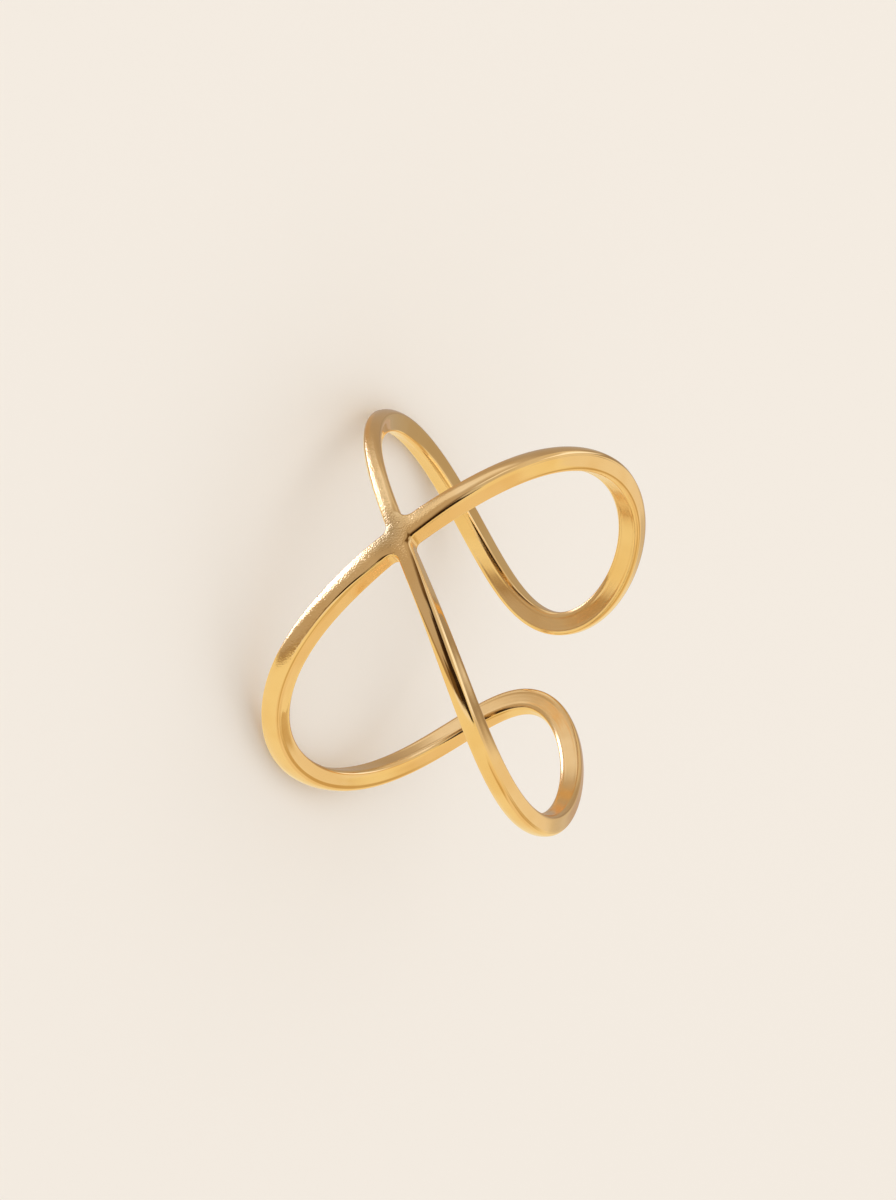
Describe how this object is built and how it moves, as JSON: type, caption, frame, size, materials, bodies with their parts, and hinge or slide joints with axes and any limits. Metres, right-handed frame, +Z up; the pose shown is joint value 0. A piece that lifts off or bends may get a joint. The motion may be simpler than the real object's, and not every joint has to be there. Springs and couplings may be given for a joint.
{
  "type": "adjustable open swirl ring",
  "caption": "Gold-coloured finger ring of one wire in two open loops that wrap the finger and cross flush at the front, open at the back to fit different fingers.",
  "frame": {"origin": "middle of the ring's outline on the surface it rests on", "axes": "+Z up, about along the finger axis; -Y towards the front, where the strands cross; the longer loop lies to +X and the shorter loop to -X, and the ring is open at the back, +Y"},
  "size_m": [0.0198, 0.0199, 0.0142],
  "materials": {
    "gold_metal": "polished gold tone, satin on the outer faces by the crossing"
  },
  "bodies": {
    "root": {"ring_band": "gold_metal"}
  },
  "joints": []
}
